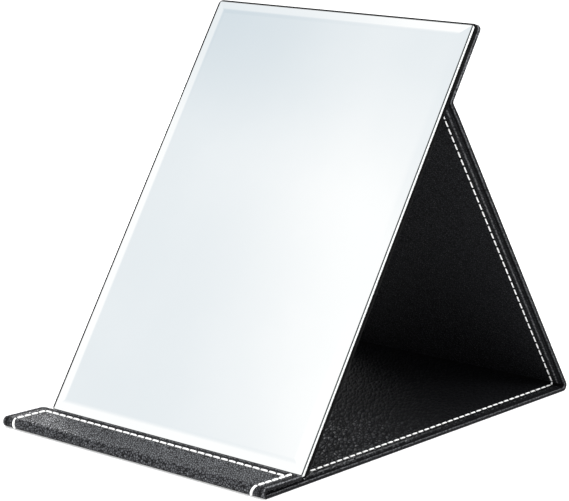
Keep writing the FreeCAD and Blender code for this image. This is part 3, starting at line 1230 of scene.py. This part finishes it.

# %% [markdown]
# ## Leather
# The cover is coated cloth pressed with a pebble grain: small round-edged islands with fine valleys
# between. A photograph could carry it, but noise never repeats and needs no unwrapping. Voronoi cells,
# slanted and stretched, give the islands, their distance to the edge gives the valleys, and a finer noise
# breaks the islands up. The valleys stay dull and dark. The tops are polished by use, and there the
# finish counts as metal, an easy way to a crisp gloss on black. The wear-and-shade number darkens the
# leather and takes the polish off where shade is painted, and turns the rims pale, partly as wear and
# partly as painted highlight. The strut's lining has a finer grain, and a darker colour that paints the
# shade it lies in.
# Everything reads Object coordinates, so the grain runs on from a panel into its fold.

# %% Five grains
Grain = namedtuple("Grain", "valley top pebble depth matt gloss mottle polish")
BLACK = (0.004, 0.004, 0.004)
GRAINS = {
    "cover_leather": Grain(
        (0.006, 0.006, 0.007), (0.150, 0.155, 0.166), 1.2 * MM, 0.28 * MM, 0.65, 0.45, 0.25, 1.0
    ),
    "lining_leather": Grain(
        (0.004, 0.0043, 0.0053), (0.095, 0.099, 0.108), 2.1 * MM, 0.6 * MM, 0.8, 0.16, 0.65, 1.0
    ),
    # The strut's lining is darker than the base's: painted shade for the strut's inner face under the
    # mirror.
    "strut_lining_leather": Grain(
        (0.006, 0.0063, 0.0073), (0.042, 0.044, 0.049), 1.1 * MM, 0.3 * MM, 0.8, 0.3, 0.4, 0.9
    ),
    # Painted shade: the inside of the folds is made near black.
    "inside_fold_leather": Grain((0.002, 0.002, 0.0022), BLACK, 2.0 * MM, 0.2 * MM, 0.9, 0.8, 0.5, 0.0),
    # Painted shade: the wrap round the mirror's back is made near black.
    "back_wrap_leather": Grain((0.001, 0.001, 0.001), BLACK, 0.6 * MM, 0.03 * MM, 0.75, 0.65, 0.5, 0.0),
}
print("grains, in mm:", {name: round(grain.pebble / MM, 1) for name, grain in GRAINS.items()})

# %% Leather finishes
UNEVENNESS = 0.6
WARP = (0.6 * MM, 0.6 * MM, 0.6 * MM)
GRAIN_SLANT = (0, 0, math.radians(35))
GRAIN_STRETCH = (1, 2.8, 1.2)
GRAIN_DISORDER = 0.85
DOME_FALL = 1.6
ISLAND_RIM = (0.04, 0.26)
TONES = (0.3, 0.75)
FINENESS = 1.1
FINE_SPAN = (0.35, 0.65)
BROAD_PER_METRE = 45
BROAD_SPAN = (0.3, 0.7)
# Where the number is below zero, painted shade darkens the leather and takes off its gloss.
SHADED_SPAN = (-0.9, 0.0)
# The pale rim colour is partly wear and partly painted highlight.
WORN_AND_LIT_SPAN = (0.2, 1.0)
WORN_AND_LIT = (0.300, 0.304, 0.316)
WORN_AND_LIT_LEAST = 0.1
WORN_AND_LIT_BY_FINE = 0.7
DULLED_BY_BROAD = 0.08
DOME_SHARE = 0.8
ISLAND_SHARE = 0.2
TONE_SHARE = 0.15
BARE_SHINE = 0.08


def leather(name, grain):
    """A grained black leather. Its polish says how far the tops of the grain gleam."""
    finish = new_finish(name)
    drawn = {"Vector": finish.place(), "Rotation": GRAIN_SLANT, "Scale": GRAIN_STRETCH}
    slanted = finish.node("ShaderNodeMapping", {"vector_type": "TEXTURE"}, drawn)
    uneven = finish.noise(slanted, UNEVENNESS / grain.pebble)
    shift = {0: uneven, 1: WARP, 2: slanted}
    warped = finish.node("ShaderNodeVectorMath", {"operation": "MULTIPLY_ADD"}, shift)
    cells = {"Vector": warped, "Scale": 1 / grain.pebble, "Randomness": GRAIN_DISORDER}
    middle = finish.node("ShaderNodeTexVoronoi", {"feature": "F1"}, cells)
    shade = finish.node("ShaderNodeTexVoronoi", {"feature": "F1"}, cells, "Color")
    border = finish.node("ShaderNodeTexVoronoi", {"feature": "DISTANCE_TO_EDGE"}, cells)
    dome = 1 - middle * middle * DOME_FALL
    island = finish.step(border, *ISLAND_RIM)
    tone = finish.step(shade, *TONES)
    fine = finish.step(finish.noise(slanted, FINENESS / grain.pebble, 3), *FINE_SPAN)
    broad = finish.step(finish.noise(slanted, BROAD_PER_METRE, 3), *BROAD_SPAN)
    wear = finish.node("ShaderNodeAttribute", {"attribute_name": "wear"}, output="Fac")
    unshaded = finish.step(wear, *SHADED_SPAN)
    worn_and_lit = finish.step(wear, *WORN_AND_LIT_SPAN)
    even = 1 - grain.mottle
    ridge = island * (fine * grain.mottle + even) * (tone * grain.mottle + even) * unshaded
    height = dome * DOME_SHARE + island * ISLAND_SHARE + tone * TONE_SHARE
    grained = finish.blend(ridge, grain.valley, grain.top)
    pale = worn_and_lit * (fine * WORN_AND_LIT_BY_FINE + WORN_AND_LIT_LEAST)
    return finish.close({
        "Base Color": finish.blend(pale, grained, WORN_AND_LIT),
        "Roughness": grain.matt - (grain.matt - grain.gloss) * ridge + DULLED_BY_BROAD * broad,
        "Metallic": grain.polish * ridge if grain.polish else 0.0,
        "Specular IOR Level": BARE_SHINE,
        "Normal": finish.bump(height, grain.depth),
    })


leathers = {name: leather(name, grain) for name, grain in GRAINS.items()}
print("leathers made:", list(leathers))

# %% [markdown]
# ## Thread, glass and the hidden pieces
# White thread is two plies twisted together, so fine slanted bands run over it. It also glows a little,
# painted light that keeps it white even in the shade of the strut. The mirror is silver seen through
# clear glass: a metal with almost no roughness. Its ground side is pale and slightly dull, and the thin
# chamfer in front of that is coloured near black, painted shade for the dark line along the glass's
# edge. The card, tape, magnets and steel plates stay inside the folder, but each still gets the finish of
# its material, for anyone who opens it.

# %% White thread
THREAD_TWIST = 0.55 * MM
PLY_SCALE = 0.3 / THREAD_TWIST
PLY_DEPTH = 0.1 * MM
PLY_RELIEF = 0.5
SOIL_PER_METRE = 120
SOIL_SHARE = 0.5
SOILED_WHITE = (0.86, 0.86, 0.85)
CLEAN_WHITE = (0.97, 0.97, 0.96)
# Painted light: the thread glows a little, so it stays white in the shade.
THREAD_GLOW = 0.16
WHITE = (1, 1, 1, 1)


def thread_finish():
    finish = new_finish("white_thread")
    place = finish.place()
    twist = {"Vector": place, "Scale": PLY_SCALE, "Distortion": 1.5, "Detail": 1}
    plies = finish.node("ShaderNodeTexWave", {"bands_direction": "DIAGONAL"}, twist)
    clean = plies * (1 - SOIL_SHARE) + finish.noise(place, SOIL_PER_METRE) * SOIL_SHARE
    return finish.close({
        "Base Color": finish.blend(clean, SOILED_WHITE, CLEAN_WHITE),
        "Roughness": 0.7,
        "Normal": finish.bump(plies, PLY_DEPTH, PLY_RELIEF),
        "Emission Color": WHITE,
        "Emission Strength": THREAD_GLOW,
    })


white_thread = thread_finish()
print("thread finish made:", white_thread.name)

# %% Silvered and ground glass
VEIL_PER_METRE = 14
VEIL_SPAN = (0.35, 0.75)
VEIL_DULLING = 0.012
SILVER_ROUGHNESS = 0.004
PLAIN_SILVER = (0.93, 0.945, 0.945)
VEILED_SILVER = (0.955, 0.965, 0.962)
SPECKLE_DEPTH = 0.02 * MM


def silver_finish():
    finish = new_finish("mirror_silver")
    veil = finish.step(finish.noise(finish.place(), VEIL_PER_METRE, 4), *VEIL_SPAN)
    return finish.close({
        "Base Color": finish.blend(veil, PLAIN_SILVER, VEILED_SILVER),
        "Metallic": 1.0,
        "Roughness": veil * VEIL_DULLING + SILVER_ROUGHNESS,
    })


def speckled(name, dark, light, per_metre, dull, gloss, metallic=0.0, glow=0.0, detail=4, relief=0.4):
    """A plain material with the fine unevenness of its kind."""
    finish = new_finish(name)
    grain = finish.noise(finish.place(), per_metre, detail)
    return finish.close({
        "Base Color": finish.blend(grain, dark, light),
        "Roughness": (dull - gloss) * grain + gloss,
        "Metallic": metallic,
        "Normal": finish.bump(grain, SPECKLE_DEPTH, relief),
        "Emission Color": WHITE,
        "Emission Strength": glow,
    })


def ground_glass(name, dark, light):
    return speckled(name, dark, light, 900, 0.35, 0.15, detail=2, relief=1.0)


mirror_silver = silver_finish()
ground_edge = ground_glass("ground_glass_edge", (0.80, 0.83, 0.82), (0.94, 0.95, 0.945))
# Painted shade: the thin chamfer is coloured near black for the dark line along the glass's edge.
shaded_arris_edge = ground_glass("glass_arris", (0.01, 0.012, 0.012), (0.06, 0.07, 0.07))
print("glass finishes made:", [shade.name for shade in (mirror_silver, ground_edge, shaded_arris_edge)])

# %% Finishes of the hidden pieces
card = speckled("grey_card", (0.20, 0.19, 0.17), (0.34, 0.32, 0.29), 700, 0.95, 0.8)
tape = speckled("foam_tape", (0.62, 0.62, 0.58), (0.78, 0.77, 0.73), 400, 0.8, 0.6)
nickel = speckled("nickelled_magnet", (0.50, 0.49, 0.46), (0.66, 0.65, 0.62), 250, 0.4, 0.25, 1.0)
zinc = speckled("zinc_plate", (0.42, 0.43, 0.45), (0.58, 0.59, 0.61), 160, 0.5, 0.3, 1.0)
hidden_finishes = dict.fromkeys(("base_board", "lip_board", "crown_board", "mirror_back_board"), card)
hidden_finishes.update(mirror_mounting_tape=tape, lip_magnets=nickel, crown_keeper_plates=zinc)
for node, finish in hidden_finishes.items():
    for place in frame["nodes"][node].material_slots:
        place.material = finish
print("hidden pieces finished:", sorted(hidden_finishes))

# %% Give every visible piece its finish
SMOOTH_ANGLE = math.radians(40)
FRONT_TILT = 0.95
SILVER, GROUND, CHAMFER = range(3)


def paint(piece, *finishes):
    piece.data.materials.clear()
    for finish in finishes:
        piece.data.materials.append(finish)
    choose(piece)
    bpy.ops.object.shade_smooth_by_angle(angle=SMOOTH_ANGLE)


for piece in [*covers.values(), *fold_covers.values()]:
    paint(piece, leathers["cover_leather"])
for name, piece in linings.items():
    paint(piece, leathers["strut_lining_leather" if name == "strut" else "lining_leather"])
for piece in fold_linings.values():
    paint(piece, leathers["inside_fold_leather"])
for piece in [*threads.values(), nose_thread, corner_thread]:
    paint(piece, white_thread)
paint(strut_card, card)
paint(mirror_wrap, leathers["back_wrap_leather"])
paint(glass, mirror_silver, ground_edge, shaded_arris_edge)
bpy.ops.object.shade_flat()
mirror_front = Vector((0, -math.sin(lean), math.cos(lean)))
for face in glass.data.polygons:
    tilt = face.normal.dot(mirror_front)
    face.material_index = SILVER if tilt > FRONT_TILT else CHAMFER if tilt > SIDE_TILT else GROUND
print("finishes given")

# %% [markdown]
# ## Floor and light
# The picture is a plain studio shot on white. A wide pale floor carries the mirror and glows a little, so
# that it stays white. The sky is a white tent with two soft, bluish grey flags in it, because the mirror
# shows only the sky, and an even white would look like paper. A wide softbox overhead lights the leather.
# Two small ones, at the side and behind, bring out its grain and its rims. Lamps with sharp edges would
# draw spots in the glass.

# %% Lay the floor
FLOOR_SIZE = 24
FLOOR_GLOW = 0.35

bpy.ops.mesh.primitive_plane_add(size=FLOOR_SIZE)
floor = bpy.context.object
floor.name = "studio_floor"
pale = speckled("pale_floor", (0.88, 0.88, 0.88), (0.92, 0.92, 0.92), 3, 0.9, 0.8, glow=FLOOR_GLOW)
floor.data.materials.append(pale)
print("floor laid")

# %% Hang the tent
LEFT_WAY = (0.78, -0.34, 0.52)
UPPER_WAY = (0.15, 0.66, 0.74)
CLEAR_SKY = (1.06, 1.06, 1.06)
GREY_SKY = (0.65, 0.73, 0.79)
LEFT_FLAG = -0.12
LEFT_FLAG_FOOT = (-0.32, -0.14)
UPPER_FLAG = 0.17
FLAG_WIDTH = 0.14
FLAG_SHADE = 0.5

tent = bpy.data.worlds.new("studio_tent")
bpy.context.scene.world = tent
sky = Finish(tent)
way = sky.node("ShaderNodeTexCoord", output="Generated")


def reach(direction):
    """How far the sky lies in one direction, from -1 to 1."""
    sockets = {0: way, 1: direction}
    return sky.node("ShaderNodeVectorMath", {"operation": "DOT_PRODUCT"}, sockets, "Value")


def flag(place, middle):
    """A soft grey flag, square to the direction that the place was measured in."""
    offset = place - middle
    return 1 - sky.step(offset * offset, 0, FLAG_WIDTH ** 2)


leftward = reach(LEFT_WAY)
upward = reach(UPPER_WAY)
left_flag = flag(leftward, LEFT_FLAG) * sky.step(upward, *LEFT_FLAG_FOOT)
upper_flag = flag(upward, UPPER_FLAG)
shade = sky.blend(left_flag * FLAG_SHADE + upper_flag * FLAG_SHADE, CLEAR_SKY, GREY_SKY)
glow = sky.node("ShaderNodeBackground", None, {"Color": shade, "Strength": 1.0})
sky.node("ShaderNodeOutputWorld", None, {"Surface": glow})
print("tent hung")

# %% Set the lamps
SOFTBOXES = {
    "overhead_softbox": ((0.25, 0.15, 2.1), 2.4, 30),
    "side_softbox": ((1.35, 0.35, 0.75), 0.7, 7),
    "rear_softbox": ((-1.28, 0.72, 0.30), 0.5, 8),
}


def softbox(name, place, size, watts):
    """A square lamp that looks at the mirror. The camera doesn't see it, but glossy things do."""
    facing = Vector(place).to_track_quat("Z", "Y").to_euler()
    bpy.ops.object.light_add(type="AREA", location=place, rotation=facing)
    lamp = bpy.context.object
    lamp.name = name
    lamp.data.size = size
    lamp.data.energy = watts
    lamp.visible_camera = False


for name, setting in SOFTBOXES.items():
    softbox(name, *setting)
bpy.context.scene.view_settings.view_transform = "Standard"
print("lamps set:", list(SOFTBOXES))
